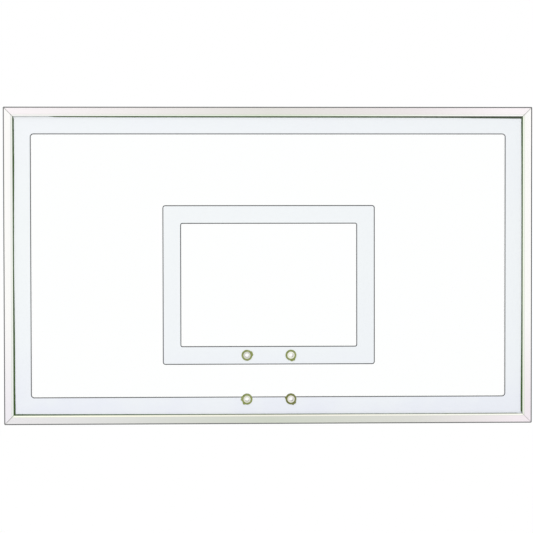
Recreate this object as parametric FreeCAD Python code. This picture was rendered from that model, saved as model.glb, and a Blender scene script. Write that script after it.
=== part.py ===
"""Basketball backboard: a glass panel with a target and a border stripe, glazed into a mitred
aluminium frame, with four grommeted rim holes and four corner brackets on the back.

Millimetres. X runs along the board, Y runs back from the front face, Z is up.
The origin is the centre of the four rear mounting holes, on the brackets' rear faces.
"""

import FreeCAD
import Part
import math
import os

# Board
BOARD_WIDTH = 1524.0
BOARD_HEIGHT = 914.4

# Glass panel
GLASS_THICKNESS = 12.7
GLASS_ARRIS = 1.0
GLASS_CORNER_RADIUS = 8.0

# Frame extrusion: across the face, and back from the front
FACE_WIDTH = 27.0
FRAME_DEPTH = 50.8
WALL = 3.0
LIP = 3.4
FACE_BEVEL_WIDTH = 5.0
FACE_BEVEL_DEPTH = 2.0
FACE_EDGE_RADIUS = 3.0
REAR_EDGE_RADIUS = 1.5
BEVEL_EDGE_RADIUS = 0.5
CHAMBER_RADIUS = 1.0
BOARD_CORNER_RADIUS = 4.0
MITRE_GAP = 0.4

# Grooves in the glazing pocket, which hold the gasket's ribs
GROOVE_WIDTH = 2.4
GROOVE_DEPTH = 1.2

# Glazing gasket, a channel round the glass edge
GASKET_LEG = 2.5
GASKET_BASE = 3.0
GASKET_NOSE = 4.0
GASKET_NOSE_RADIUS = 0.6
GASKET_TIP_HEIGHT = 1.2
GASKET_NOSE_SETBACK = 0.6
GASKET_CLEARANCE = 0.2

# Blocks between the glass edge and the frame
BLOCK_THICKNESS = 6.0
SETTING_BLOCK_LENGTH = 100.0
EDGE_BLOCK_LENGTH = 80.0
BLOCK_PLACE_SHARE = 0.25

# Fired markings on the front of the glass
FILM_THICKNESS = 0.3
FILM_CLEARANCE = 0.4
BORDER_WIDTH = 50.8
BORDER_CORNER_RADIUS = 9.0
TARGET_WIDTH = 609.6
TARGET_HEIGHT = 457.2
TARGET_LINE_WIDTH = 50.8
TARGET_OUTER_RADIUS = 6.5
TARGET_INNER_RADIUS = 5.0
KEYLINE_WIDTH = 2.6

# Rim holes: the lower pair stands clear of the bottom rail
RIM_HOLE_MARGIN = 44.4
RIM_SPACING_ACROSS = 127.0
RIM_SPACING_UP = 127.0
GLASS_HOLE_RADIUS = 13.0
GROMMET_WALL = 2.2
GROMMET_FLANGE_OVERLAP = 2.6
GROMMET_FLANGE_THICKNESS = 1.5
GROMMET_FLANGE_CHAMFER = 0.6
RIM_BORE_RADIUS = 5.55
SLEEVE_CHAMFER = 0.5
RIM_FIT_CLEARANCE = 0.15

# Corner brackets and their mounting holes
BRACKET_THICKNESS = 6.35
BRACKET_INSET = 1.5
BRACKET_CORNER_RADIUS = 6.0
GUSSET_CORNER_RADIUS = 12.0
GUSSET_STEP = 20.0
MOUNT_INSET = 50.8
MOUNT_HOLE_RADIUS = 7.15
MOUNT_LAND = 14.0

# Bracket screws and corner keys
SCREW_RADIUS = 3.97
SCREW_HEAD_RADIUS = 7.9
SCREW_RECESS = 0.3
SCREW_BITE = 15.0
SCREW_TIP_CHAMFER = 0.8
SCREW_SETBACK = 18.0
SCREW_END_MARGIN = 22.0
SCREW_HOLE_CLEARANCE = 0.25
THREAD_CLEARANCE = 0.05
TAP_RUNOUT = 3.0
SOCKET_ACROSS_FLATS = 4.8
SOCKET_DEPTH = 2.8
KEY_CLEARANCE = 0.2
KEY_END_MARGIN = 18.0
KEY_LEAD_RADIUS = 3.0

# Cutting tools run past what they cut by this much; shorter edges than the least are dropped
OVERRUN = 2.0
LEAST_EDGE = 0.001

# Depths, measured back from the front face
FRONT = -(FRAME_DEPTH + BRACKET_THICKNESS)
GLASS_FRONT = LIP + GASKET_LEG
FILM_FRONT = GLASS_FRONT - FILM_THICKNESS
GLASS_REAR = GLASS_FRONT + GLASS_THICKNESS
WEB_FRONT = GLASS_REAR + GASKET_LEG
CHAMBER_FRONT = WEB_FRONT + WALL
CHAMBER_REAR = FRAME_DEPTH - WALL

# Distances in from the board's outer edge
GASKET_OUTER = WALL + BLOCK_THICKNESS
GLASS_EDGE = GASKET_OUTER + GASKET_BASE
GROOVE_CENTRE = (GLASS_EDGE + FACE_WIDTH) / 2
GASKET_TIP = FACE_WIDTH + GASKET_NOSE
BORDER_OUTER = GASKET_TIP + FILM_CLEARANCE
BORDER_INNER = FACE_WIDTH + BORDER_WIDTH

# Rim holes and the target, whose lower line is centred on the upper holes
RIM_LOWER = FACE_WIDTH + RIM_HOLE_MARGIN - BOARD_HEIGHT / 2
RIM_UPPER = RIM_LOWER + RIM_SPACING_UP
TARGET_CENTRE = RIM_UPPER + (TARGET_HEIGHT - TARGET_LINE_WIDTH) / 2
FLANGE_RADIUS = GLASS_HOLE_RADIUS + GROMMET_FLANGE_OVERLAP
NECK_RADIUS = GLASS_HOLE_RADIUS - RIM_FIT_CLEARANCE
GROMMET_BORE_RADIUS = NECK_RADIUS - GROMMET_WALL
SLEEVE_RADIUS = GROMMET_BORE_RADIUS - RIM_FIT_CLEARANCE

# Corner brackets: the gusset leaves its land round the mounting hole
GUSSET_REACH = 2 * MOUNT_INSET + math.sqrt(2) * (MOUNT_HOLE_RADIUS + MOUNT_LAND) - FACE_WIDTH
BRACKET_LEG = GUSSET_REACH + GUSSET_STEP
SCREW_PLACES = (FACE_WIDTH + SCREW_SETBACK, BRACKET_LEG - SCREW_END_MARGIN)
KEY_LEG = SCREW_PLACES[1] + KEY_END_MARGIN

ORIGIN = FreeCAD.Vector(0, 0, 0)
ALONG = FreeCAD.Vector(1, 0, 0)
BACK = FreeCAD.Vector(0, 1, 0)
UP = FreeCAD.Vector(0, 0, 1)
FULL_TURN = 360
QUARTER_TURN = 90

# The sides in the order of quarter turns about Y from the bottom edge
SIDES = ("bottom", "left", "top", "right")
RAIL_NAMES = {
    "bottom": "frame_bottom_rail",
    "left": "frame_left_stile",
    "top": "frame_top_rail",
    "right": "frame_right_stile",
}
BLOCK_NAMES = {
    "bottom": ("setting_block_left", "setting_block_right"),
    "left": ("side_block_left_upper", "side_block_left_lower"),
    "top": ("top_block_right", "top_block_left"),
    "right": ("side_block_right_lower", "side_block_right_upper"),
}


def rounded_wire(corners):
    """Closed wire through planar corners, each a point and the radius that rounds it."""
    stops = []
    for index, (point, radius) in enumerate(corners):
        if radius == 0:
            stops.append((point, None, point))
            continue
        to_last = (corners[index - 1][0] - point).normalize()
        to_next = (corners[(index + 1) % len(corners)][0] - point).normalize()
        half_angle = to_last.getAngle(to_next) / 2
        inward = (to_last + to_next).normalize()
        tangent = radius / math.tan(half_angle)
        middle = point + inward * (radius / math.sin(half_angle) - radius)
        stops.append((point + to_last * tangent, middle, point + to_next * tangent))
    edges = []
    for index, (entry, middle, leave) in enumerate(stops):
        if middle is not None:
            edges.append(Part.Arc(entry, middle, leave).toShape())
        following = stops[(index + 1) % len(stops)][0]
        if leave.distanceToPoint(following) > LEAST_EDGE:
            edges.append(Part.LineSegment(leave, following).toShape())
    return Part.Wire(edges)


def section_face(corners, start):
    """Face across a run, from corners given as distance in, depth back and radius."""
    return Part.Face(rounded_wire([(FreeCAD.Vector(start, FRONT + back, inward), radius)
                                   for inward, back, radius in corners]))


def plan_face(corners, depth):
    """Face parallel to the board, from corners given as X, Z and radius."""
    return Part.Face(rounded_wire([(FreeCAD.Vector(x, FRONT + depth, z), radius) for x, z, radius in corners]))


def rectangle(width, height, radius, centre=0):
    """Corners of an upright rectangle on the board's centre line."""
    low = centre - height / 2
    high = centre + height / 2
    return [(-width / 2, low, radius), (width / 2, low, radius),
            (width / 2, high, radius), (-width / 2, high, radius)]


def inset_rectangle(inset, radius):
    """Corners of the rectangle that lies a distance inside the board's outer edge."""
    return rectangle(BOARD_WIDTH - 2 * inset, BOARD_HEIGHT - 2 * inset, radius)


def turned(corners):
    """Solid of revolution about Y, from corners given as radius from the axis, Y and rounding."""
    wire = rounded_wire([(FreeCAD.Vector(reach, y, 0), rounding) for reach, y, rounding in corners])
    return Part.Face(wire).revolve(ORIGIN, BACK, FULL_TURN)


def moved(shape, x, z):
    """Copy of a shape, moved across the board."""
    copy = shape.copy()
    copy.translate(FreeCAD.Vector(x, 0, z))
    return copy


def run_of(side):
    """Length of one side of the board."""
    return BOARD_WIDTH if side in ("bottom", "top") else BOARD_HEIGHT


def on_side(shape, side):
    """Place a shape that was drawn along the bottom edge, from Z zero inwards, on one side."""
    span = BOARD_WIDTH + BOARD_HEIGHT - run_of(side)
    placed = moved(shape, 0, -span / 2)
    placed.rotate(ORIGIN, BACK, SIDES.index(side) * QUARTER_TURN)
    return placed


def on_corner(shape, side, end):
    """Place a shape that was drawn in from the lower left corner on one of the four corners."""
    placed = moved(shape, -BOARD_WIDTH / 2, -BOARD_HEIGHT / 2)
    if side == "right":
        placed = placed.mirror(ORIGIN, ALONG)
    if end == "top":
        placed = placed.mirror(ORIGIN, UP)
    return placed


def corners_of_board():
    """Names of the four corners, as end and side."""
    return [(end, side) for end in ("top", "bottom") for side in ("left", "right")]


def mitred_run(face, run, gap):
    """Extrude a section along a run and cut both ends at 45 degrees, half a gap short."""
    start = run / 2 - gap / math.sqrt(2)
    reach = GASKET_TIP + OVERRUN
    trapezium = [(-start, 0, 0), (start, 0, 0), (start - reach, reach, 0), (reach - start, reach, 0)]
    prism = plan_face(trapezium, 0).extrude(BACK * FRAME_DEPTH)
    return face.extrude(ALONG * run).common(prism).Solids[0]


def frame_section(run):
    """Extrusion section: front lip, glazing pocket with two grooves, web and rear chamber."""
    groove_near = GROOVE_CENTRE - GROOVE_WIDTH / 2
    groove_far = GROOVE_CENTRE + GROOVE_WIDTH / 2
    outside = [
        (0, 0, FACE_EDGE_RADIUS),
        (FACE_WIDTH - FACE_BEVEL_WIDTH, 0, BEVEL_EDGE_RADIUS),
        (FACE_WIDTH, FACE_BEVEL_DEPTH, BEVEL_EDGE_RADIUS),
        (FACE_WIDTH, LIP, 0),
        (groove_far, LIP, 0),
        (groove_far, LIP - GROOVE_DEPTH, 0),
        (groove_near, LIP - GROOVE_DEPTH, 0),
        (groove_near, LIP, 0),
        (WALL, LIP, 0),
        (WALL, WEB_FRONT, 0),
        (groove_near, WEB_FRONT, 0),
        (groove_near, WEB_FRONT + GROOVE_DEPTH, 0),
        (groove_far, WEB_FRONT + GROOVE_DEPTH, 0),
        (groove_far, WEB_FRONT, 0),
        (FACE_WIDTH, WEB_FRONT, 0),
        (FACE_WIDTH, FRAME_DEPTH, REAR_EDGE_RADIUS),
        (0, FRAME_DEPTH, REAR_EDGE_RADIUS),
    ]
    chamber = [
        (WALL, CHAMBER_FRONT, CHAMBER_RADIUS),
        (FACE_WIDTH - WALL, CHAMBER_FRONT, CHAMBER_RADIUS),
        (FACE_WIDTH - WALL, CHAMBER_REAR, CHAMBER_RADIUS),
        (WALL, CHAMBER_REAR, CHAMBER_RADIUS),
    ]
    return section_face(outside, -run / 2).cut(section_face(chamber, -run / 2)).Faces[0]


def screw_hole():
    """Clearance hole with a countersink at the mounting plane, on the axis through the origin."""
    radius = SCREW_RADIUS + SCREW_HOLE_CLEARANCE
    mouth = SCREW_HEAD_RADIUS + SCREW_RECESS + SCREW_HOLE_CLEARANCE
    seat = mouth - radius
    floor = BRACKET_THICKNESS + WALL + OVERRUN
    return turned([(0, OVERRUN, 0), (mouth + OVERRUN, OVERRUN, 0), (radius, -seat, 0),
                   (radius, -floor, 0), (0, -floor, 0)])


def corner_screw_places():
    """Screw places at the lower left corner: two along each leg, in the middle of the rail."""
    middle = FACE_WIDTH / 2
    return [(place, middle) for place in SCREW_PLACES] + [(middle, place) for place in SCREW_PLACES]


def at_screws(shape, end, side):
    """Copies of a shape at the four screw places of one corner."""
    return [on_corner(moved(shape, x, z), side, end) for x, z in corner_screw_places()]


def frame_rails():
    """Four mitred lengths with rounded outer corners and clearance holes for the bracket screws."""
    outline = plan_face(inset_rectangle(0, BOARD_CORNER_RADIUS), 0).extrude(BACK * FRAME_DEPTH)
    holes = [hole for end, side in corners_of_board() for hole in at_screws(screw_hole(), end, side)]
    rails = {}
    for side in SIDES:
        run = run_of(side)
        rail = on_side(mitred_run(frame_section(run), run, MITRE_GAP), side)
        rails[RAIL_NAMES[side]] = rail.common(outline).cut(holes).Solids[0]
    return rails


def gasket_section(run):
    """Channel section: two legs with ribs, a base under the glass edge and a nose at the front."""
    rib_near = GROOVE_CENTRE - GROOVE_WIDTH / 2 + GASKET_CLEARANCE
    rib_far = GROOVE_CENTRE + GROOVE_WIDTH / 2 - GASKET_CLEARANCE
    rib_height = GROOVE_DEPTH - GASKET_CLEARANCE
    nose_root = FACE_WIDTH + GASKET_CLEARANCE
    return section_face([
        (GASKET_OUTER, LIP, 0),
        (rib_near, LIP, 0),
        (rib_near, LIP - rib_height, 0),
        (rib_far, LIP - rib_height, 0),
        (rib_far, LIP, 0),
        (nose_root, LIP, 0),
        (nose_root, FACE_BEVEL_DEPTH + GASKET_NOSE_SETBACK, 0),
        (GASKET_TIP, GLASS_FRONT - GASKET_TIP_HEIGHT, GASKET_NOSE_RADIUS),
        (GASKET_TIP, GLASS_FRONT, 0),
        (GLASS_EDGE, GLASS_FRONT, 0),
        (GLASS_EDGE, GLASS_REAR, 0),
        (FACE_WIDTH, GLASS_REAR, 0),
        (FACE_WIDTH, WEB_FRONT, 0),
        (rib_far, WEB_FRONT, 0),
        (rib_far, WEB_FRONT + rib_height, 0),
        (rib_near, WEB_FRONT + rib_height, 0),
        (rib_near, WEB_FRONT, 0),
        (GASKET_OUTER, WEB_FRONT, 0),
    ], -run / 2)


def gaskets():
    """Four mitred lengths of glazing gasket."""
    lengths = {}
    for side in SIDES:
        run = run_of(side)
        lengths["gasket_" + side] = on_side(mitred_run(gasket_section(run), run, 0), side)
    return lengths


def edge_blocks():
    """Blocks between gasket and frame: two under the glass, two over it and two on each side."""
    blocks = {}
    for side in SIDES:
        length = SETTING_BLOCK_LENGTH if side == "bottom" else EDGE_BLOCK_LENGTH
        corner = FreeCAD.Vector(-length / 2, FRONT + GLASS_FRONT, WALL)
        block = Part.makeBox(length, GLASS_THICKNESS, BLOCK_THICKNESS, corner)
        for name, place in zip(BLOCK_NAMES[side], (-BLOCK_PLACE_SHARE, BLOCK_PLACE_SHARE)):
            blocks[name] = on_side(moved(block, place * run_of(side), 0), side)
    return blocks


def rim_places():
    """Names and places of the four rim holes."""
    across = RIM_SPACING_ACROSS / 2
    return [(f"{level}_{side}", x, z)
            for level, z in (("upper", RIM_UPPER), ("lower", RIM_LOWER))
            for side, x in (("left", -across), ("right", across))]


def at_rim_holes(shape):
    """Copies of a shape at the four rim holes."""
    return [moved(shape, x, z) for _, x, z in rim_places()]


def glass_panel():
    """Pane with ground arrises and four drilled holes."""
    pane = plan_face(inset_rectangle(GLASS_EDGE, GLASS_CORNER_RADIUS), GLASS_FRONT)
    pane = pane.extrude(BACK * GLASS_THICKNESS)
    rim = [edge for edge in pane.Edges if edge.BoundBox.YLength < LEAST_EDGE]
    pane = pane.makeChamfer(GLASS_ARRIS, rim)
    front = FRONT + GLASS_FRONT
    rear = FRONT + GLASS_REAR
    mouth = GLASS_HOLE_RADIUS + GLASS_ARRIS + OVERRUN
    drill = turned([(0, front - OVERRUN, 0), (mouth, front - OVERRUN, 0),
                    (GLASS_HOLE_RADIUS, front + GLASS_ARRIS, 0), (GLASS_HOLE_RADIUS, rear - GLASS_ARRIS, 0),
                    (mouth, rear + OVERRUN, 0), (0, rear + OVERRUN, 0)])
    return pane.cut(at_rim_holes(drill)).Solids[0]


def band(outer, inner):
    """Thin film on the front of the glass between two outlines, open round the grommets."""
    flat = plan_face(outer, FILM_FRONT).cut(plan_face(inner, FILM_FRONT))
    film = flat.extrude(BACK * FILM_THICKNESS)
    clear = FLANGE_RADIUS + RIM_FIT_CLEARANCE
    punch = Part.makeCylinder(clear, FILM_THICKNESS, BACK * (FRONT + FILM_FRONT), BACK)
    return film.cut(at_rim_holes(punch)).Solids


def target_outline(grow, line_in):
    """Corners of the target's outer edge, or its inner edge, grown by a distance all round."""
    radius = (TARGET_INNER_RADIUS if line_in else TARGET_OUTER_RADIUS) + grow
    width = TARGET_WIDTH - 2 * line_in + 2 * grow
    height = TARGET_HEIGHT - 2 * line_in + 2 * grow
    return rectangle(width, height, radius, TARGET_CENTRE)


def markings():
    """White border and target, each edged with a thin grey line that straddles its edges."""
    half = KEYLINE_WIDTH / 2
    line = TARGET_LINE_WIDTH
    border_edge = [inset_rectangle(BORDER_INNER - grow, BORDER_CORNER_RADIUS + grow) for grow in (half, -half)]
    border = band(inset_rectangle(BORDER_OUTER, 0), border_edge[0])
    target = band(target_outline(-half, 0), target_outline(half, line))
    target_lines = band(target_outline(half, 0), target_outline(-half, 0))
    target_lines += band(target_outline(half, line), target_outline(-half, line))
    return {
        "border_marking": Part.makeCompound(border),
        "border_keyline": Part.makeCompound(band(*border_edge)),
        "target_marking": Part.makeCompound(target),
        "target_keylines": Part.makeCompound(target_lines),
    }


def rim_grommet():
    """Rubber grommet with a neck in the glass and a chamfered flange on each face."""
    front = FRONT + GLASS_FRONT
    rear = FRONT + GLASS_REAR
    face = front - GROMMET_FLANGE_THICKNESS
    back = rear + GROMMET_FLANGE_THICKNESS
    cut = GROMMET_FLANGE_CHAMFER
    return turned([(GROMMET_BORE_RADIUS, face, 0), (FLANGE_RADIUS - cut, face, 0), (FLANGE_RADIUS, face + cut, 0),
                   (FLANGE_RADIUS, front, 0), (NECK_RADIUS, front, 0), (NECK_RADIUS, rear, 0),
                   (FLANGE_RADIUS, rear, 0), (FLANGE_RADIUS, back - cut, 0), (FLANGE_RADIUS - cut, back, 0),
                   (GROMMET_BORE_RADIUS, back, 0)])


def rim_sleeve():
    """Stiff sleeve that takes the rim bolt's clamping load inside the grommet."""
    face = FRONT + GLASS_FRONT - GROMMET_FLANGE_THICKNESS
    back = FRONT + GLASS_REAR + GROMMET_FLANGE_THICKNESS
    cut = SLEEVE_CHAMFER
    return turned([(RIM_BORE_RADIUS, face + cut, 0), (RIM_BORE_RADIUS + cut, face, 0),
                   (SLEEVE_RADIUS - cut, face, 0), (SLEEVE_RADIUS, face + cut, 0),
                   (SLEEVE_RADIUS, back - cut, 0), (SLEEVE_RADIUS - cut, back, 0),
                   (RIM_BORE_RADIUS + cut, back, 0), (RIM_BORE_RADIUS, back - cut, 0)])


def rim_fittings():
    """A grommet and a sleeve in each rim hole."""
    fittings = {}
    for name, x, z in rim_places():
        fittings["rim_grommet_" + name] = moved(rim_grommet(), x, z)
        fittings["rim_sleeve_" + name] = moved(rim_sleeve(), x, z)
    return fittings


def corner_key():
    """L-shaped key for the rear chamber at the lower left corner, tapped from behind."""
    low = WALL + KEY_CLEARANCE
    high = FACE_WIDTH - WALL - KEY_CLEARANCE
    front = CHAMBER_FRONT + KEY_CLEARANCE
    rear = CHAMBER_REAR - KEY_CLEARANCE
    plan = [(low, low, 0), (KEY_LEG, low, KEY_LEAD_RADIUS), (KEY_LEG, high, KEY_LEAD_RADIUS), (high, high, 0),
            (high, KEY_LEG, KEY_LEAD_RADIUS), (low, KEY_LEG, KEY_LEAD_RADIUS)]
    key = plan_face(plan, front).extrude(BACK * (rear - front))
    rim = [edge for edge in key.Edges if edge.BoundBox.YLength < LEAST_EDGE]
    key = key.makeChamfer(CHAMBER_RADIUS, rim)
    depth = WALL + SCREW_BITE + TAP_RUNOUT
    tap = Part.makeCylinder(SCREW_RADIUS + THREAD_CLEARANCE, depth, BACK * -(BRACKET_THICKNESS + depth), BACK)
    return key.cut([moved(tap, x, z) for x, z in corner_screw_places()]).Solids[0]


def corner_bracket():
    """Gusset plate on the back of the lower left corner, with one mounting hole."""
    edge = BRACKET_CORNER_RADIUS
    bend = GUSSET_CORNER_RADIUS
    plan = [(BRACKET_INSET, BRACKET_INSET, edge), (BRACKET_LEG, BRACKET_INSET, edge),
            (BRACKET_LEG, FACE_WIDTH, edge), (GUSSET_REACH, FACE_WIDTH, bend),
            (FACE_WIDTH, GUSSET_REACH, bend), (FACE_WIDTH, BRACKET_LEG, edge), (BRACKET_INSET, BRACKET_LEG, edge)]
    plate = plan_face(plan, FRAME_DEPTH).extrude(BACK * BRACKET_THICKNESS)
    mount = Part.makeCylinder(MOUNT_HOLE_RADIUS, BRACKET_THICKNESS, BACK * -BRACKET_THICKNESS, BACK)
    holes = [moved(screw_hole(), x, z) for x, z in corner_screw_places()]
    return plate.cut(holes + [moved(mount, MOUNT_INSET, MOUNT_INSET)]).Solids[0]


def bracket_screw():
    """Countersunk screw with a hexagon socket, its head just under the mounting plane."""
    top = -SCREW_RECESS
    neck = top - (SCREW_HEAD_RADIUS - SCREW_RADIUS)
    tip = -(BRACKET_THICKNESS + WALL + SCREW_BITE)
    screw = turned([(0, top, 0), (SCREW_HEAD_RADIUS, top, 0), (SCREW_RADIUS, neck, 0),
                    (SCREW_RADIUS, tip + SCREW_TIP_CHAMFER, 0), (SCREW_RADIUS - SCREW_TIP_CHAMFER, tip, 0),
                    (0, tip, 0)])
    reach = SOCKET_ACROSS_FLATS / math.sqrt(3)
    hexagon = [FreeCAD.Vector(reach * math.cos(turn * math.pi / 3), top, reach * math.sin(turn * math.pi / 3))
               for turn in range(6)]
    socket = Part.Face(Part.makePolygon(hexagon + hexagon[:1])).extrude(BACK * -SOCKET_DEPTH)
    return screw.cut(socket)


def corner_hardware():
    """Key and bracket at each corner, and all the bracket screws as one group."""
    hardware = {}
    screws = []
    for end, side in corners_of_board():
        hardware[f"corner_key_{end}_{side}"] = on_corner(corner_key(), side, end)
        hardware[f"mounting_bracket_{end}_{side}"] = on_corner(corner_bracket(), side, end)
        screws += at_screws(bracket_screw(), end, side)
    hardware["bracket_screws"] = Part.makeCompound(screws)
    return hardware


def backboard():
    """Every sub-part, by node name."""
    nodes = {"glass_panel": glass_panel()}
    for group in (markings, frame_rails, gaskets, edge_blocks, rim_fittings, corner_hardware):
        nodes.update(group())
    return nodes


def main():
    """Write one STEP file per sub-part."""
    os.makedirs("parts", exist_ok=True)
    for name, shape in backboard().items():
        shape.exportStep(os.path.join("parts", name + ".step"))


main()
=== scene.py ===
"""Looks of the basketball backboard: its finishes and fired markings, the studio and the camera.

Metres, in the part's own frame: X along the board, Y out of its back, Z up. The front looks along -Y.
"""

import math

import bmesh
import bpy
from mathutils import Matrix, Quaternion, Vector


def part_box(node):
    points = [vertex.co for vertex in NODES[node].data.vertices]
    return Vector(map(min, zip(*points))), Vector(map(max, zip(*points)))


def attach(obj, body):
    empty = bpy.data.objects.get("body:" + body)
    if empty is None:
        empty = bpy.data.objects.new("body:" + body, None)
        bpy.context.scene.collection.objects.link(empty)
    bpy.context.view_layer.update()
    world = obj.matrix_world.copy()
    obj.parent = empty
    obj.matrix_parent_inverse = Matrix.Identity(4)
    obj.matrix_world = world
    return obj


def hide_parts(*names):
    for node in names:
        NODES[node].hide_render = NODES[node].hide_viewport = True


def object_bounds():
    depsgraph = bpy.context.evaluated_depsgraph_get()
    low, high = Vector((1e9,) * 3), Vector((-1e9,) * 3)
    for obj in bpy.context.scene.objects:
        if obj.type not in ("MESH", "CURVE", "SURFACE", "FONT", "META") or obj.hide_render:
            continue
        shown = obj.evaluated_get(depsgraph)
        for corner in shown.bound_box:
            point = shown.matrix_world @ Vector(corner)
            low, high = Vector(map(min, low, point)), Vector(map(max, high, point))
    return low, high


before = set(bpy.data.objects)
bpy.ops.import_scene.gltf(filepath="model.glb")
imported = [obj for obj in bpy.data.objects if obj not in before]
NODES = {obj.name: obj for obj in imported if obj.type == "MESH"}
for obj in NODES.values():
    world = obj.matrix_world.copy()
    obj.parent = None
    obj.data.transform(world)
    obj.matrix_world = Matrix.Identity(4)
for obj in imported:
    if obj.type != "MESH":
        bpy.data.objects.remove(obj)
cad_low, cad_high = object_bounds()
MILLIMETRE = 0.001

# Board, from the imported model
HALF_WIDTH = cad_high.x
HALF_HEIGHT = cad_high.z
FRONT_Y = cad_low.y

# Camera: where it stands, seen from the point on the board's front that it looks at
CAMERA_DISTANCE = 4.5
CAMERA_LEFT_DEGREES = 1.5
CAMERA_UP_DEGREES = 1.1
CAMERA_ROLL_DEGREES = -0.09
CAMERA_LENS = 105.5
CAMERA_SENSOR = 36.0
AIM_X = -0.0069
AIM_Z = -0.0024

# Studio: the light of the white surroundings, the floor, and two soft lamps
WORLD_LIGHT = 0.98
FLOOR_DROP = 1.6
FLOOR_HALF = 30.0
FLOOR_ALBEDO = 0.85
LAMP_SIZE = 2.6
LAMP_POWER = 10.0
LAMP_PLACES = {
    "top_lamp": (-1.2, -1.6, 3.0),
    "back_lamp": (1.6, 2.4, 2.2),
}

# Frame finish and its painted shade on the arris and along the crease, measured in from the board's outline
# and back from its front
ARRIS_WIDTH = 0.0034
ARRIS_DEPTH = 0.003
BEVEL_START = 0.022
CREASE_WIDTH = 0.0016
CREASE_SHADE_STRENGTH = 0.25
FACE_DEPTH = 0.0032
MITRE_DARK = 0.0004
MITRE_SOFT = 0.0018
BOARD_CORNER_RADIUS = 0.004

# Brushed grain: streaks per metre across and along the run, and how much they darken the frame
GRAIN_ACROSS = 900.0
GRAIN_ALONG = 6.0
GRAIN_STRENGTH = 0.05

# Most of a noise's values lie between these two
NOISE_LOW = 0.3
NOISE_HIGH = 0.7

# Shares of a second tone: the enamel's mottle, its drift to the right, and the nylon's mottle
ENAMEL_MOTTLE = 0.5
ENAMEL_DRIFT = 0.3
NYLON_MOTTLE = 0.12

# Tempered glass: roller waves per metre, their stretch and height, the glass body and its ground edges
ROLLER_WAVE_SCALE = 6.0
ROLLER_WAVE_STRETCH = (0.2, 1.0, 1.0)
ROLLER_WAVE_HEIGHT = 0.0001
GLASS_IOR = 1.5
GLASS_BODY = (0.72, 0.95, 0.85, 1.0)
GLASS_DENSITY = 2.0
GROUND_EDGE_ROUGHNESS = 0.45

# A hair of air keeps markings, seals and grommets off the glass, so that no two surfaces share a plane
HAIR = 0.00005

# Edges that bend more than this stay sharp on smooth pieces
SHARP_DEGREES = 40

# Glazing seals, measured in from the board's outline: the edge of the frame's lip, the root of the packed
# nose and its reach from there. The edge zone holds the mitred ends and the border stripe's outer edge.
LIP_EDGE = 0.027
NOSE_ROOT = 0.0272
NOSE_REACH = 0.0038
EDGE_ZONE = 0.035

# The border stripe runs on under the seals, and their tips are lifted onto it
STRIPE_EDGE = 0.0273
TIP_LIFT = 0.00045

# How much of each seal the frame leaves in view, in millimetres, at places from 0 to 1 along its run
SEALS = {
    "top": (
        (0.083, 0.25), (0.098, 2.7), (0.22, 3.4), (0.37, 3.5), (0.53, 3.75), (0.68, 3.85),
        (0.79, 4.1), (0.86, 4.7), (0.89, 5.3), (0.915, 5.7), (0.945, 6.0), (0.967, 6.5),
    ),
    "bottom": (
        (0.027, 4.05), (0.065, 3.55), (0.18, 2.75), (0.37, 1.9),
        (0.56, 1.9), (0.75, 1.25), (0.97, 1.55), (0.976, 0.3),
    ),
    "left": (
        (0.064, 5.4), (0.111, 4.8), (0.237, 4.7), (0.284, 4.55), (0.393, 3.75),
        (0.503, 2.85), (0.644, 3.2), (0.754, 4.15), (0.832, 4.55), (0.942, 4.1),
    ),
    "right": (
        (0.064, 4.65), (0.111, 4.5), (0.237, 3.65), (0.393, 3.05),
        (0.503, 3.05), (0.644, 2.95), (0.832, 3.5), (0.942, 4.1),
    ),
}

# Rim grommets: section, and where each front lip swells out of round, in degrees from the right
GROMMET_BORE = 0.01065
GROMMET_NECK = 0.01285
GROMMET_LIP_ROUND = 0.0008
GROMMET_LIP_STEPS = 5
GROMMET_STEPS = 96
SWELL_HEIGHT = 0.0027
SWELL_HALF_ANGLE = 20.0
SWELLS = {
    "upper_left": (32.0, 7.0),
    "upper_right": (-56.0, -80.0),
    "lower_left": (157.0, 184.0, 234.0),
    "lower_right": (164.0, -42.0, -68.0),
}

# Rim sleeves: tone of each, and the strength and direction of the painted shade on one side of the bore,
# where its wall lies in shade
RIM_BORE = 0.00555
BORE_SHADE_REACH = 0.0085
SLEEVES = {
    "upper_left": ((220, 221, 210), 0.2, -90.0),
    "upper_right": ((246, 247, 232), 0.7, -10.0),
    "lower_left": ((228, 230, 213), 0.4, -75.0),
    "lower_right": ((238, 236, 225), 0.6, -25.0),
}


def srgb(red, green, blue):
    """Linear colour with alpha, from 0 to 255 display values."""
    def linear(level):
        share = level / 255
        return share / 12.92 if share <= 0.04045 else ((share + 0.055) / 1.055) ** 2.4
    return (linear(red), linear(green), linear(blue), 1.0)


def add_node(tree, kind, inputs, **settings):
    """New node with its settings, and its inputs by name or index: outputs to link, or values to set."""
    node = tree.nodes.new(kind)
    for name, value in settings.items():
        setattr(node, name, value)
    for key, value in inputs.items():
        socket = node.inputs[key]
        if isinstance(value, bpy.types.NodeSocket):
            tree.links.new(value, socket)
        else:
            socket.default_value = value
    return node


def add_math(tree, operation, *values):
    """Arithmetic on one to three outputs or numbers."""
    return add_node(tree, "ShaderNodeMath", dict(enumerate(values)), operation=operation).outputs[0]


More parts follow.
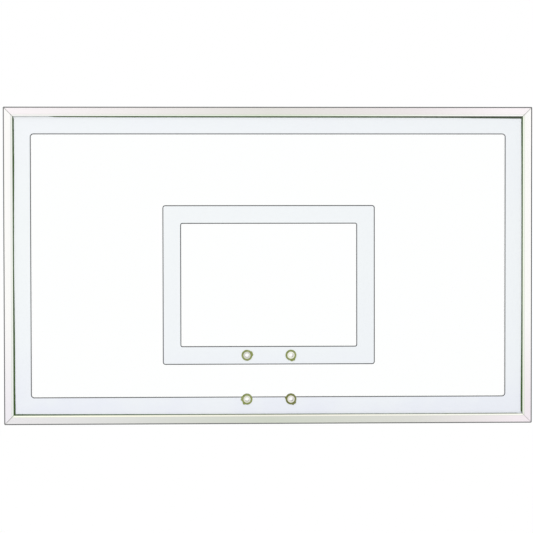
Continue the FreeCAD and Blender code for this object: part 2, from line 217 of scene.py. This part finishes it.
class Finish:
    """A procedural material in the making: its methods add nodes, or feed the shader."""

    def __init__(self, name, constants):
        self.material = bpy.data.materials.new(name)
        self.material.use_nodes = True
        self.tree = self.material.node_tree
        self.shader = self.tree.nodes["Principled BSDF"]
        for socket, value in constants.items():
            self.shader.inputs[socket].default_value = value

    def add(self, kind, inputs, **settings):
        """New node of this material."""
        return add_node(self.tree, kind, inputs, **settings)

    def math(self, operation, *values):
        """Arithmetic on one to three outputs or numbers."""
        return add_math(self.tree, operation, *values)

    def shade(self, socket, output):
        """Feed one of the shader's sockets."""
        self.tree.links.new(output, self.shader.inputs[socket])

    def position(self):
        """Place in the part's frame, as a vector."""
        return self.add("ShaderNodeTexCoord", {}).outputs["Object"]

    def axes(self):
        """Place in the part's frame, as X, Y and Z."""
        return self.add("ShaderNodeSeparateXYZ", {0: self.position()}).outputs

    def stretched(self, scale):
        """Place in the part's frame, scaled apart along each axis."""
        inputs = {0: self.position(), 1: scale}
        return self.add("ShaderNodeVectorMath", inputs, operation="MULTIPLY").outputs[0]

    def noise(self, scale, detail, vector=None):
        """Soft noise from 0 to 1."""
        inputs = {"Vector": vector or self.position(), "Scale": scale, "Detail": detail}
        return self.add("ShaderNodeTexNoise", inputs).outputs["Fac"]

    def ramp(self, value, low, high, to_low=0.0, to_high=1.0):
        """Smooth step between two values."""
        inputs = {"Value": value, "From Min": low, "From Max": high, "To Min": to_low, "To Max": to_high}
        return self.add("ShaderNodeMapRange", inputs, interpolation_type="SMOOTHSTEP").outputs[0]

    def blend(self, share, first, second):
        """Colour between two colours."""
        return self.add("ShaderNodeMix", {0: share, 6: first, 7: second}, data_type="RGBA").outputs[2]

    def stops(self, value, colours):
        """Colour that drifts through stops, given as place from 0 to 1 and colour."""
        node = self.add("ShaderNodeValToRGB", {0: value})
        elements = node.color_ramp.elements
        elements[0].position, elements[0].color = colours[0]
        elements[1].position, elements[1].color = colours[-1]
        for place, colour in colours[1:-1]:
            elements.new(place).color = colour
        return node.outputs["Color"]

    def between(self, value, low, high):
        """One where a value lies between two limits."""
        above = self.math("GREATER_THAN", value, low)
        return self.math("MULTIPLY", above, self.math("LESS_THAN", value, high))

    def roughen(self, noise, low, high):
        """Roughness between two levels, by a noise."""
        self.shade("Roughness", self.ramp(noise, NOISE_LOW, NOISE_HIGH, low, high))

    def bump(self, height, distance, strength):
        """Fine relief from a height."""
        inputs = {"Height": height, "Distance": distance, "Strength": strength}
        self.shade("Normal", self.add("ShaderNodeBump", inputs).outputs[0])


def dress(material, *names):
    """Give CAD nodes a material."""
    for name in names:
        slots = NODES[name].data.materials
        slots.clear()
        slots.append(material)


def length(finish, first, second):
    """Distance, from its two parts at right angles."""
    squares = finish.math("ADD", finish.math("POWER", first, 2.0), finish.math("POWER", second, 2.0))
    return finish.math("SQRT", squares)


def edge_distance(finish):
    """Distance in from the board's rounded outline, seen from the front."""
    x, _, z = finish.axes()
    radius = BOARD_CORNER_RADIUS
    past_x = finish.math("SUBTRACT", finish.math("ABSOLUTE", x), HALF_WIDTH - radius)
    past_z = finish.math("SUBTRACT", finish.math("ABSOLUTE", z), HALF_HEIGHT - radius)
    over_x = finish.math("MAXIMUM", past_x, 0.0)
    over_z = finish.math("MAXIMUM", past_z, 0.0)
    outside = length(finish, over_x, over_z)
    inside = finish.math("MINIMUM", finish.math("MAXIMUM", past_x, past_z), 0.0)
    return finish.math("SUBTRACT", radius, finish.math("ADD", outside, inside))


def mitre_distance(finish):
    """Distance from the corner mitres, seen from the front."""
    x, _, z = finish.axes()
    from_side = finish.math("SUBTRACT", HALF_WIDTH, finish.math("ABSOLUTE", x))
    from_top = finish.math("SUBTRACT", HALF_HEIGHT, finish.math("ABSOLUTE", z))
    apart = finish.math("ABSOLUTE", finish.math("SUBTRACT", from_side, from_top))
    return finish.math("MULTIPLY", apart, math.sqrt(0.5))


def run_share(finish, axis):
    """Place along the board's width or height, from 0 at its low end to 1 at its high end."""
    half = HALF_WIDTH if axis == "X" else HALF_HEIGHT
    return finish.math("MULTIPLY_ADD", finish.axes()[axis], 0.5 / half, 0.5)


def brushed(finish, axis):
    """Fine grain drawn out along one axis."""
    scale = [GRAIN_ACROSS, GRAIN_ACROSS, GRAIN_ACROSS]
    scale["XYZ".index(axis)] = GRAIN_ALONG
    return finish.noise(scale=1.0, detail=3.0, vector=finish.stretched(scale))


def anodised(name, axis, face, bevel, seams, edge):
    """Satin anodised aluminium, brushed along its run, with a bright front face and painted shade on its
    arris.

    Face and bevel are colour stops along the run that hold painted reflections and painted shade, seams the
    strength of the mitre at its two ends, and edge the tone of the painted shade on the arris.
    """
    finish = Finish(name, {})
    grain = brushed(finish, axis)
    inset = edge_distance(finish)
    back = finish.math("SUBTRACT", finish.axes()["Y"], FRONT_Y)
    along = run_share(finish, axis)
    sloped = finish.math("GREATER_THAN", inset, BEVEL_START)
    # The face and bevel stops hold painted reflections and painted shade.
    tone = finish.blend(sloped, finish.stops(along, face), finish.stops(along, bevel))
    # Painted shade: a thin grey line along the crease between face and bevel.
    crease = finish.between(inset, BEVEL_START - CREASE_WIDTH / 2, BEVEL_START + CREASE_WIDTH / 2)
    tone = finish.blend(finish.math("MULTIPLY", crease, CREASE_SHADE_STRENGTH), tone, srgb(170, 170, 166))
    streaks = finish.ramp(grain, low=0.35, high=0.65)
    sides = finish.blend(streaks, srgb(196, 198, 200), srgb(208, 209, 210))
    tone = finish.blend(finish.math("GREATER_THAN", back, FACE_DEPTH), tone, sides)
    tone = finish.blend(finish.math("MULTIPLY", grain, GRAIN_STRENGTH), tone, srgb(150, 150, 150))
    near = finish.ramp(mitre_distance(finish), MITRE_DARK, MITRE_SOFT, to_low=1.0, to_high=0.0)
    seam = finish.math("MULTIPLY", near, finish.ramp(along, 0.0, 1.0, *seams))
    tone = finish.blend(seam, tone, srgb(140, 140, 130))
    # Painted shade: the rounded outer arris is coloured grey and made non-metallic, so it reads as an edge
    # in shade.
    at_edge = finish.math("LESS_THAN", inset, ARRIS_WIDTH)
    arris = finish.math("MULTIPLY", at_edge, finish.math("LESS_THAN", back, ARRIS_DEPTH))
    finish.shade("Base Color", finish.blend(arris, tone, edge))
    finish.shade("Metallic", finish.math("SUBTRACT", 1.0, arris))
    finish.roughen(grain, low=0.32, high=0.42)
    finish.bump(grain, distance=0.00002, strength=0.3)
    return finish.material


def mill_aluminium():
    """Bare aluminium with fine die lines."""
    finish = Finish("mill_aluminium", {"Metallic": 1.0})
    grain = brushed(finish, "X")
    finish.shade("Base Color", finish.blend(grain, srgb(176, 177, 178), srgb(200, 200, 201)))
    finish.roughen(grain, low=0.3, high=0.45)
    finish.bump(grain, distance=0.00003, strength=0.4)
    return finish.material


def clear_glass():
    """Clear tempered glass: a faint green body, ground edges and the long waves of the furnace rollers."""
    constants = {"Base Color": (1, 1, 1, 1), "IOR": GLASS_IOR, "Transmission Weight": 1.0}
    finish = Finish("clear_glass", constants)
    normal = finish.add("ShaderNodeNewGeometry", {}).outputs["Normal"]
    facing = finish.math("ABSOLUTE", finish.add("ShaderNodeSeparateXYZ", {0: normal}).outputs["Y"])
    ground = finish.ramp(facing, low=0.8, high=0.98, to_low=GROUND_EDGE_ROUGHNESS, to_high=0.0)
    finish.shade("Roughness", ground)
    place = finish.stretched(ROLLER_WAVE_STRETCH)
    waves = finish.noise(scale=ROLLER_WAVE_SCALE, detail=1.0, vector=place)
    finish.bump(waves, distance=ROLLER_WAVE_HEIGHT, strength=1.0)
    body = finish.add("ShaderNodeVolumeAbsorption", {"Color": GLASS_BODY, "Density": GLASS_DENSITY})
    output = finish.tree.nodes["Material Output"]
    finish.tree.links.new(body.outputs[0], output.inputs["Volume"])
    return finish.material


def enamel(name, tones, mottle, drift):
    """Ceramic enamel fired on the glass: tones from foot to top, a mottle and a drift to the right."""
    finish = Finish(name, {"Roughness": 0.45})
    cloud = finish.ramp(finish.noise(scale=9.0, detail=4.0), low=0.35, high=0.65)
    tone = finish.stops(run_share(finish, "Z"), tones)
    tone = finish.blend(finish.math("MULTIPLY", run_share(finish, "X"), ENAMEL_DRIFT), tone, drift)
    tone = finish.blend(finish.math("MULTIPLY", cloud, ENAMEL_MOTTLE), tone, mottle)
    finish.shade("Base Color", tone)
    finish.bump(finish.noise(scale=1800.0, detail=2.0), distance=0.00001, strength=0.2)
    return finish.material


def rubber(name, dark, light, scale, right_end=None):
    """Matt rubber with a lighter bloom, and another tone toward the board's right where one is given."""
    finish = Finish(name, {"Specular IOR Level": 0.3})
    bloom = finish.noise(scale, detail=4.0)
    tone = finish.blend(finish.ramp(bloom, low=0.3, high=0.75), dark, light)
    if right_end:
        rightward = finish.ramp(run_share(finish, "X"), low=0.65, high=0.9)
        tone = finish.blend(rightward, tone, right_end)
    finish.shade("Base Color", tone)
    finish.roughen(bloom, low=0.6, high=0.8)
    finish.bump(finish.noise(scale=2500.0, detail=2.0), distance=0.00004, strength=0.4)
    return finish.material


def nylon(where):
    """Natural nylon with fine mottle and painted grey shade on one side of its bore."""
    level, strength, direction = SLEEVES[where]
    low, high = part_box("rim_sleeve_" + where)
    centre = (low + high) / 2
    finish = Finish("natural_nylon_" + where, {"Specular IOR Level": 0.4})
    mottle = finish.noise(scale=220.0, detail=3.0)
    tone = finish.blend(finish.math("MULTIPLY", mottle, NYLON_MOTTLE), srgb(*level), srgb(180, 180, 172))
    x, _, z = finish.axes()
    right = finish.math("SUBTRACT", x, centre.x)
    up = finish.math("SUBTRACT", z, centre.z)
    reach = length(finish, right, up)
    turn = math.radians(direction)
    rise = finish.math("MULTIPLY", up, math.sin(turn))
    aside = finish.math("DIVIDE", finish.math("MULTIPLY_ADD", right, math.cos(turn), rise), reach)
    # Painted shade: a grey crescent at the bore's mouth, on one side, stands for the bore's wall in shade.
    ring = finish.ramp(reach, BORE_SHADE_REACH, RIM_BORE, to_low=0.0, to_high=strength)
    bore_shade = finish.math("MULTIPLY", ring, finish.ramp(aside, low=0.2, high=0.9))
    finish.shade("Base Color", finish.blend(bore_shade, tone, srgb(120, 119, 118)))
    finish.roughen(mottle, low=0.4, high=0.55)
    finish.bump(mottle, distance=0.00003, strength=0.4)
    return finish.material


def powder_coat():
    """Light grey powder coat with its fine orange peel."""
    finish = Finish("bracket_coat", {"Specular IOR Level": 0.5})
    peel = finish.noise(scale=900.0, detail=2.0)
    cloud = finish.noise(scale=14.0, detail=3.0)
    finish.shade("Base Color", finish.blend(cloud, srgb(176, 178, 180), srgb(190, 192, 193)))
    finish.roughen(peel, low=0.38, high=0.5)
    finish.bump(peel, distance=0.00006, strength=0.5)
    return finish.material


def zinc():
    """Bright zinc plating with faint clouding."""
    finish = Finish("zinc_plate", {"Metallic": 1.0})
    cloud = finish.noise(scale=260.0, detail=4.0)
    finish.shade("Base Color", finish.blend(cloud, srgb(178, 178, 172), srgb(214, 214, 210)))
    finish.roughen(cloud, low=0.25, high=0.4)
    finish.bump(cloud, distance=0.00002, strength=0.4)
    return finish.material


def add_piece(name, mesh, node):
    """Piece of the board that stands for a CAD node."""
    piece = bpy.data.objects.new(name, mesh)
    bpy.context.scene.collection.objects.link(piece)
    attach(piece, "root")
    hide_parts(node)


def smooth_mesh(mesh):
    """Shade a mesh smooth between its sharp edges."""
    mesh.shade_smooth()
    mesh.set_sharp_from_angle(angle=math.radians(SHARP_DEGREES))


def off_glass_mesh(node, name, material):
    """Copy of a CAD solid's mesh, its faces on the glass moved a hair away."""
    mesh = NODES[node].data.copy()
    mesh.name = name
    glass_low, glass_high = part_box("glass_panel")
    for vertex in mesh.vertices:
        if abs(vertex.co.y - glass_low.y) < HAIR:
            vertex.co.y -= HAIR
        elif abs(vertex.co.y - glass_high.y) < HAIR:
            vertex.co.y += HAIR
    mesh.materials.clear()
    mesh.materials.append(material)
    return mesh


def marking_piece(node, name, material):
    """Fired marking; the border stripe's outer edge runs on under the seals."""
    mesh = off_glass_mesh(node, name, material)
    for vertex in mesh.vertices:
        if abs(vertex.co.x) > HALF_WIDTH - EDGE_ZONE:
            vertex.co.x = math.copysign(HALF_WIDTH - STRIPE_EDGE, vertex.co.x)
        if abs(vertex.co.z) > HALF_HEIGHT - EDGE_ZONE:
            vertex.co.z = math.copysign(HALF_HEIGHT - STRIPE_EDGE, vertex.co.z)
    add_piece(name, mesh, node)


def nose_reach(side, share):
    """How far a seal's nose reaches in from its root at a place along the run."""
    stops = SEALS[side]
    low, high = stops[0], stops[-1]
    for before, after in zip(stops, stops[1:]):
        if before[0] <= share <= after[0]:
            low, high = before, after
    part = min(max((share - low[0]) / (high[0] - low[0]), 0.0), 1.0)
    shown = low[1] + (high[1] - low[1]) * part
    return shown * MILLIMETRE + LIP_EDGE - NOSE_ROOT


def seal_piece(side, material):
    """Glazing seal whose nose shows more or less along its run, mitred to its neighbours at the corners."""
    outward = 1 if side in ("top", "right") else -1
    if side in ("left", "right"):
        along, across, axis = "z", "x", Vector((0, 0, 1))
        half_run, half_span = HALF_HEIGHT, HALF_WIDTH
        ends = ("bottom", "top")
    else:
        along, across, axis = "x", "z", Vector((1, 0, 0))
        half_run, half_span = HALF_WIDTH, HALF_HEIGHT
        ends = ("left", "right")
    name = "glazing_seal_" + side
    mesh = off_glass_mesh("gasket_" + side, name, material)
    glass_low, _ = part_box("glass_panel")
    shape = bmesh.new()
    shape.from_mesh(mesh)
    for share, _ in SEALS[side]:
        cut = axis * (2 * share - 1) * half_run
        everything = shape.verts[:] + shape.edges[:] + shape.faces[:]
        bmesh.ops.bisect_plane(shape, geom=everything, plane_co=cut, plane_no=axis)
    for vertex in shape.verts:
        run = getattr(vertex.co, along)
        inset = half_span - outward * getattr(vertex.co, across)
        if vertex.co.y > glass_low.y or inset <= NOSE_ROOT + HAIR:
            continue
        part = (inset - NOSE_ROOT) / NOSE_REACH
        inset = NOSE_ROOT + part * nose_reach(side, 0.5 + 0.5 * run / half_run)
        setattr(vertex.co, across, outward * (half_span - inset))
        if half_run - abs(run) < EDGE_ZONE:
            neighbour = nose_reach(ends[run > 0], 1.0 if outward > 0 else 0.0)
            setattr(vertex.co, along, run - math.copysign(part * (neighbour - NOSE_REACH), run))
        if vertex.co.y > glass_low.y - 2 * HAIR:
            vertex.co.y -= TIP_LIFT
    shape.to_mesh(mesh)
    shape.free()
    smooth_mesh(mesh)
    add_piece(name, mesh, "gasket_" + side)


def lip_arc(reach, place, radius, start):
    """Quarter circle of section points, as distance from the axis and place along it."""
    turns = [step / GROMMET_LIP_STEPS for step in range(GROMMET_LIP_STEPS + 1)]
    angles = [math.radians(start + 90 * turn) for turn in turns]
    return [(reach + radius * math.cos(angle), place + radius * math.sin(angle)) for angle in angles]


def grommet_section(low, high):
    """Grommet section from bore to lips and neck, drawn between two planes along Y."""
    glass_low, glass_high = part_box("glass_panel")
    front = glass_low.y - HAIR
    rear = glass_high.y + HAIR
    radius = (high.x - low.x) / 2
    lip = GROMMET_LIP_ROUND
    front_inner = lip_arc(GROMMET_BORE + lip, low.y + lip, lip, 180)
    front_outer = lip_arc(radius - lip, low.y + lip, lip, 270)
    rear_outer = lip_arc(radius - lip, high.y - lip, lip, 0)
    rear_inner = lip_arc(GROMMET_BORE + lip, high.y - lip, lip, 90)
    waist = [(radius, front), (GROMMET_NECK, front), (GROMMET_NECK, rear), (radius, rear)]
    return front_inner + front_outer + waist + rear_outer + rear_inner


def swell(angle, places):
    """How far a lip stands out of round at an angle."""
    total = 0.0
    for place in places:
        apart = abs((angle - place + 180) % 360 - 180) / SWELL_HALF_ANGLE
        if apart < 1:
            total += SWELL_HEIGHT * (0.5 + 0.5 * math.cos(math.pi * apart))
    return total


def swollen(section, radius, out, glass_y, film_y):
    """Grommet section whose lip in front of the glass stands out of round and lies over the marking."""
    points = []
    for reach, y in section:
        if out and y < glass_y and reach > GROMMET_NECK:
            reach += out * (reach - GROMMET_NECK) / (radius - GROMMET_NECK)
            y = min(y, film_y - HAIR)
        points.append((reach, y))
    return points


def grommet_piece(where, material):
    """Moulded rubber grommet with rounded lips, its front lip a little out of round."""
    node = "rim_grommet_" + where
    name = "rim_bush_" + where
    low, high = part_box(node)
    centre = (low + high) / 2
    radius = (high.x - low.x) / 2
    film_low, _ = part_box("border_marking")
    glass_low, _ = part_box("glass_panel")
    section = grommet_section(low, high)
    shape = bmesh.new()
    rings = []
    for step in range(GROMMET_STEPS):
        angle = 360 * step / GROMMET_STEPS
        right = math.cos(math.radians(angle))
        up = math.sin(math.radians(angle))
        points = swollen(section, radius, swell(angle, SWELLS[where]), glass_low.y, film_low.y)
        places = [(centre.x + reach * right, y, centre.z + reach * up) for reach, y in points]
        rings.append([shape.verts.new(place) for place in places])
    for ring, following in zip(rings, rings[1:] + rings[:1]):
        for index in range(len(ring)):
            onward = (index + 1) % len(ring)
            shape.faces.new((ring[index], ring[onward], following[onward], following[index]))
    bmesh.ops.recalc_face_normals(shape, faces=shape.faces)
    mesh = bpy.data.meshes.new(name)
    shape.to_mesh(mesh)
    shape.free()
    smooth_mesh(mesh)
    mesh.materials.append(material)
    add_piece(name, mesh, node)


def dress_frame():
    """Frame lengths with painted reflections and shade: rails paler toward their ends, stiles greyer toward
    the foot.
    """
    white = srgb(255, 254, 252)
    rosy = srgb(253, 247, 249)
    # Painted shade on the outer arris; the right stile's is darker.
    edge = srgb(96, 97, 98)
    darker_arris_shade = srgb(52, 53, 54)
    # Painted reflections and shade: face and bevel tones differ by how each length faces the light; the
    # bottom bevel, lit from above, is paler than its face.
    top_face = [(0.02, rosy), (0.5, srgb(230, 228, 223)), (0.78, srgb(239, 233, 234)), (0.95, rosy)]
    top_bevel = [(0.02, white), (0.5, srgb(227, 236, 218)), (0.95, white)]
    bottom_face = [
        (0.02, srgb(236, 234, 236)), (0.5, srgb(210, 215, 202)),
        (0.78, srgb(223, 223, 217)), (0.97, srgb(246, 238, 242)),
    ]
    bottom_bevel = [
        (0.02, srgb(251, 255, 238)), (0.2, srgb(250, 250, 231)),
        (0.5, srgb(243, 241, 227)), (0.95, srgb(255, 255, 246)),
    ]
    left_face = [(0.05, srgb(243, 240, 245)), (0.33, white)]
    left_bevel = [(0.0, srgb(236, 242, 234)), (0.5, srgb(247, 250, 243)), (1.0, srgb(240, 243, 236))]
    right_face = [(0.05, srgb(244, 237, 242)), (0.33, white)]
    right_bevel = [(0.0, srgb(234, 240, 226)), (0.5, srgb(244, 250, 235))]
    top = anodised("anodised_top", "X", top_face, top_bevel, seams=(0.45, 0.45), edge=edge)
    bottom = anodised("anodised_bottom", "X", bottom_face, bottom_bevel, seams=(0.55, 0.2), edge=edge)
    left = anodised("anodised_left", "Z", left_face, left_bevel, seams=(0.55, 0.45), edge=edge)
    right = anodised("anodised_right", "Z", right_face, right_bevel, seams=(0.2, 0.45), edge=darker_arris_shade)
    dress(top, "frame_top_rail")
    dress(bottom, "frame_bottom_rail")
    dress(left, "frame_left_stile")
    dress(right, "frame_right_stile")


def dress_markings():
    """White stripes and grey outlines."""
    whites = [
        (0.04, srgb(241, 244, 253)), (0.25, srgb(248, 252, 255)),
        (0.6, srgb(250, 254, 255)), (1.0, srgb(247, 250, 254)),
    ]
    white = enamel("white_enamel", whites, srgb(247, 251, 253), srgb(237, 241, 247))
    greys = [(0.0, srgb(54, 57, 60)), (1.0, srgb(50, 53, 56))]
    grey = enamel("grey_enamel", greys, srgb(64, 67, 70), srgb(52, 55, 58))
    marking_piece("border_marking", "border_stripe", white)
    marking_piece("target_marking", "target_stripe", white)
    marking_piece("border_keyline", "border_outline", grey)
    marking_piece("target_keylines", "target_outlines", grey)


def dress_board():
    """Every finish on its pieces."""
    dress(clear_glass(), "glass_panel")
    dress_frame()
    deep = srgb(52, 79, 36)
    pale = srgb(74, 100, 56)
    seal = rubber("seal_rubber", deep, pale, scale=60.0)
    greyed = rubber("seal_rubber_greyed", deep, pale, scale=60.0, right_end=srgb(69, 79, 63))
    for side in SEALS:
        seal_piece(side, greyed if side == "top" else seal)
    block = rubber("block_rubber", srgb(38, 38, 38), srgb(58, 58, 57), scale=40.0)
    dress(block, *[name for name in NODES if "_block_" in name])
    plain_grommet = rubber("grommet_rubber", srgb(134, 145, 81), srgb(156, 165, 107), scale=120.0)
    # The lower right grommet's rubber is darker all over.
    darker_grommet = rubber("grommet_rubber_darker", srgb(112, 117, 60), srgb(132, 136, 82), scale=120.0)
    for where in SWELLS:
        grommet_piece(where, darker_grommet if where == "lower_right" else plain_grommet)
        dress(nylon(where), "rim_sleeve_" + where)
    dress(mill_aluminium(), *[name for name in NODES if name.startswith("corner_key_")])
    dress(powder_coat(), *[name for name in NODES if name.startswith("mounting_bracket_")])
    dress(zinc(), "bracket_screws")
    dress_markings()


def seen_directly(tree):
    """One for camera, glossy and transmission rays before any diffuse bounce: they show the background."""
    path = add_node(tree, "ShaderNodeLightPath", {}).outputs
    shown = path["Is Camera Ray"]
    for name in ("Is Glossy Ray", "Is Transmission Ray"):
        shown = add_math(tree, "MAXIMUM", shown, path[name])
    straight = add_math(tree, "LESS_THAN", path["Diffuse Depth"], 0.5)
    return add_math(tree, "MULTIPLY", shown, straight)


def make_world():
    """White surroundings that light the board evenly from all sides."""
    world = bpy.data.worlds.new("studio")
    bpy.context.scene.world = world
    world.use_nodes = True
    tree = world.node_tree
    background = tree.nodes["Background"]
    background.inputs["Color"].default_value = (1, 1, 1, 1)
    levels = {"Value": seen_directly(tree), "To Min": WORLD_LIGHT, "To Max": 1.0}
    level = add_node(tree, "ShaderNodeMapRange", levels)
    tree.links.new(level.outputs[0], background.inputs["Strength"])


def make_floor():
    """Pale floor below the board, white to the camera but for the board's shadow."""
    level = -HALF_HEIGHT - FLOOR_DROP
    corners = [(x * FLOOR_HALF, y * FLOOR_HALF, level) for x, y in ((-1, -1), (1, -1), (1, 1), (-1, 1))]
    mesh = bpy.data.meshes.new("floor")
    mesh.from_pydata(corners, [], [(0, 1, 2, 3)])
    floor = bpy.data.objects.new("floor", mesh)
    bpy.context.scene.collection.objects.link(floor)
    pale = (FLOOR_ALBEDO, FLOOR_ALBEDO, FLOOR_ALBEDO, 1)
    constants = {"Base Color": pale, "Specular IOR Level": 0.0, "Emission Color": (1, 1, 1, 1)}
    finish = Finish("pale_floor", constants)
    missing = 1.0 - FLOOR_ALBEDO * WORLD_LIGHT
    finish.shade("Emission Strength", finish.math("MULTIPLY", seen_directly(finish.tree), missing))
    mesh.materials.append(finish.material)


def make_lamp(name, place):
    """Large soft lamp that faces the middle of the board."""
    light = bpy.data.lights.new(name, "AREA")
    light.size = LAMP_SIZE
    light.energy = LAMP_POWER
    lamp = bpy.data.objects.new(name, light)
    lamp.location = place
    lamp.rotation_mode = "QUATERNION"
    lamp.rotation_quaternion = (-Vector(place)).to_track_quat("-Z", "Y")
    bpy.context.scene.collection.objects.link(lamp)


def make_camera():
    """Camera at the photograph's viewing angle."""
    left = math.radians(CAMERA_LEFT_DEGREES)
    up = math.radians(CAMERA_UP_DEGREES)
    back = Vector((-math.sin(left) * math.cos(up), -math.cos(left) * math.cos(up), math.sin(up)))
    data = bpy.data.cameras.new("camera")
    data.lens = CAMERA_LENS
    data.sensor_width = CAMERA_SENSOR
    camera = bpy.data.objects.new("camera", data)
    camera.location = Vector((AIM_X, FRONT_Y, AIM_Z)) + back * CAMERA_DISTANCE
    camera.rotation_mode = "QUATERNION"
    roll = Quaternion((0, 0, 1), math.radians(CAMERA_ROLL_DEGREES))
    camera.rotation_quaternion = (-back).to_track_quat("-Z", "Y") @ roll
    bpy.context.scene.collection.objects.link(camera)
    bpy.context.scene.camera = camera


dress_board()
make_world()
make_floor()
for lamp_name, lamp_place in LAMP_PLACES.items():
    make_lamp(lamp_name, lamp_place)
make_camera()
bpy.context.scene.view_settings.view_transform = "Standard"
